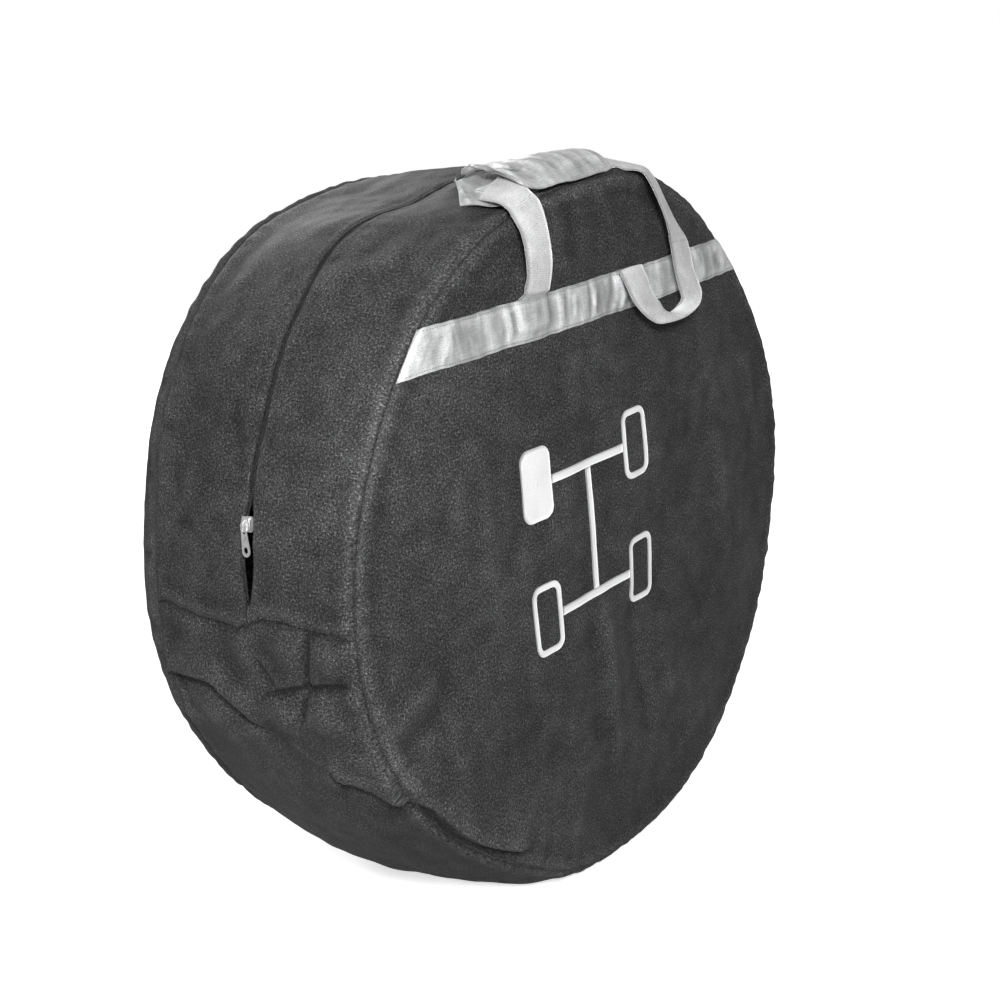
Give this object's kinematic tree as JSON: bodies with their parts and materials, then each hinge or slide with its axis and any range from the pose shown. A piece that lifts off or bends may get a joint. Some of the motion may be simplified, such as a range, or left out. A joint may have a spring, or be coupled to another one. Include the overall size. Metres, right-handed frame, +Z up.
{
  "type": "wheel storage bag",
  "caption": "Round zip-up storage bag for a car or caravan wheel, standing on its tread, with a folding front, satin bands, webbing carry handles and a sliding zip pull.",
  "frame": {"origin": "centre of the flattened patch of the tread side that the bag stands on", "axes": "+Z up; the disc axis is along Y, and the front face with the printed sign looks towards -Y"},
  "size_m": [0.7, 0.2985, 0.6938],
  "materials": {
    "bag_cloth": "matt black non-woven cloth, fine embossed grain",
    "binding_tape": "matt black binding tape",
    "zip_tape": "matt black woven tape",
    "zip_coil": "black nylon coil",
    "zip_metal": "nickel-plated zinc",
    "satin_band": "silver grey satin, light wrinkles",
    "thread": "grey sewing thread",
    "print_white": "white heat-transfer film",
    "webbing": "light grey ribbed webbing"
  },
  "bodies": {
    "bag_base": {"back_panel": "bag_cloth", "lower_gusset": "bag_cloth", "upper_gusset_back": "bag_cloth", "lower_front_panel": "bag_cloth", "back_seam_binding": "binding_tape", "front_seam_binding_lower": "binding_tape", "cross_seam_tapes": "binding_tape", "zip_tape_back": "zip_tape", "zip_coil_back": "zip_coil", "zip_bottom_stop": "zip_metal", "zip_top_stop_back": "zip_metal", "back_band": "satin_band", "back_band_stitching": "thread", "front_print_lower": "print_white", "back_webbing_ends": "webbing"},
    "front_flap": {"upper_front_panel": "bag_cloth", "upper_gusset_front": "bag_cloth", "front_seam_binding_upper": "binding_tape", "zip_tape_front": "zip_tape", "zip_coil_front": "zip_coil", "zip_top_stop_front": "zip_metal", "front_band": "satin_band", "front_band_stitching": "thread", "front_print_upper": "print_white", "front_handle_slack": "webbing", "front_webbing_ends": "webbing"},
    "front_handle": {"front_handle_webbing": "webbing", "front_grip_sleeve": "satin_band"},
    "back_handle": {"back_handle_webbing": "webbing", "back_grip_sleeve": "satin_band"},
    "zip_slider": {"zip_slider_body": "zip_metal"},
    "zip_pull": {"zip_pull_tab": "zip_metal"}
  },
  "joints": [
    {"name": "front_flap_fold", "type": "hinge", "parent": "bag_base", "child": "front_flap", "pos_m": [0, -0.148, 0.366], "axis": [1, 0, 0], "range_deg": [0, 120]},
    {"name": "zip_slide", "type": "hinge", "parent": "bag_base", "child": "zip_slider", "pos_m": [0, -0.019, 0.342], "axis": [0, 1, 0], "range_deg": [-9.5, 157.5]},
    {"name": "pull_tab_swing", "type": "hinge", "parent": "zip_slider", "child": "zip_pull", "pos_m": [-0.33903, -0.019, 0.43574], "axis": [0, 1, 0], "range_deg": [0, 165]},
    {"name": "front_handle_swing", "type": "hinge", "parent": "front_flap", "child": "front_handle", "pos_m": [0, -0.1474, 0.5824], "axis": [1, 0, 0], "range_deg": [0, 165]},
    {"name": "back_handle_swing", "type": "hinge", "parent": "bag_base", "child": "back_handle", "pos_m": [0, 0.1483, 0.5824], "axis": [1, 0, 0], "range_deg": [0, 180]}
  ]
}
